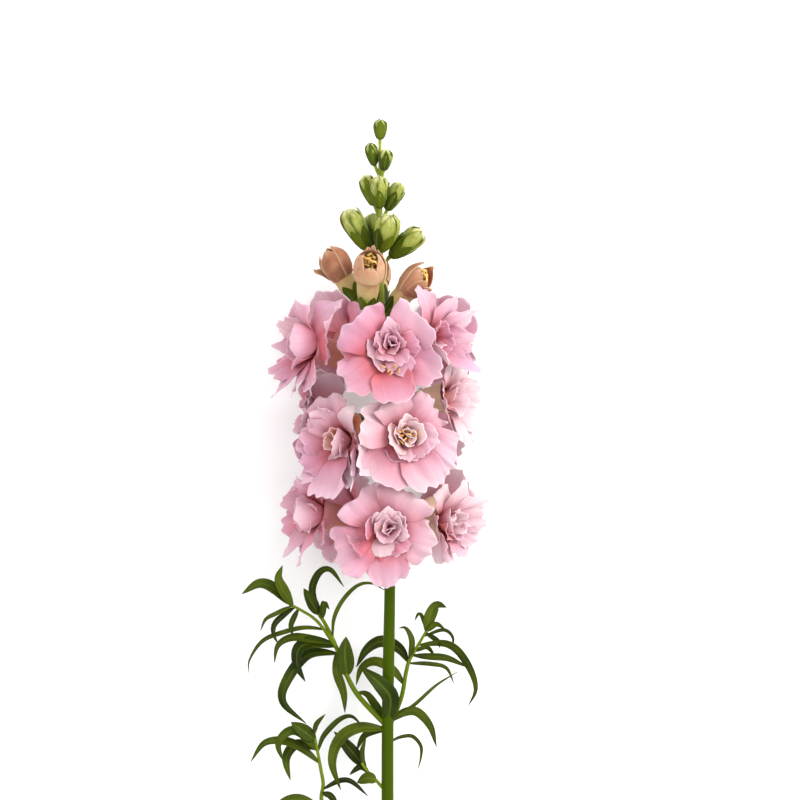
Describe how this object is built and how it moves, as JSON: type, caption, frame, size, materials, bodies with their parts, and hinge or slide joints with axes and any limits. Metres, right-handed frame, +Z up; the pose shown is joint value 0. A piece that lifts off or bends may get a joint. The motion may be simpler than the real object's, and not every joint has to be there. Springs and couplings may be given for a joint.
{
  "type": "snapdragon",
  "caption": "Cut stem of a double-flowered pink snapdragon, lying on its side, with rows of ruffled blooms, peach and green buds towards the tip, and leafy side shoots.",
  "frame": {"origin": "under the middle of the part, on the surface it lies on", "axes": "+Y along the stem from its cut end to the tip, +Z up from the surface, towards the side that the picture shows"},
  "size_m": [0.1094, 0.4004, 0.0829],
  "materials": {
    "green": "satin leaf and stem",
    "petal": "soft, slightly sheer",
    "peach": "soft, slightly sheer",
    "bud": "satin"
  },
  "bodies": {
    "root": {"stem": "green", "shoot_left": "green", "shoot_right": "green", "shoot_lower_left": "green", "shoot_small": "green", "bloom_top_front": "petal", "bloom_top_left": "petal", "bloom_top_right": "petal", "bloom_top_back_left": "petal", "bloom_top_back_right": "petal", "bloom_middle_front": "petal", "bloom_middle_left": "petal", "bloom_middle_right": "petal", "bloom_middle_back_left": "petal", "bloom_middle_back_right": "petal", "bloom_bottom_front": "petal", "bloom_bottom_left": "petal", "bloom_bottom_right": "petal", "bloom_bottom_back_left": "petal", "bloom_bottom_back_right": "petal", "bud_peach_left": "peach", "bud_peach_front": "peach", "bud_peach_right": "peach", "bud_peach_back": "peach", "bud_green_01": "bud", "bud_green_02": "bud", "bud_green_03": "bud", "bud_green_04": "bud", "bud_green_05": "bud", "bud_green_06": "bud", "bud_green_07": "bud", "bud_green_08": "bud", "bud_green_09": "bud", "bud_green_10": "bud", "bud_green_tip": "bud"}
  },
  "joints": []
}
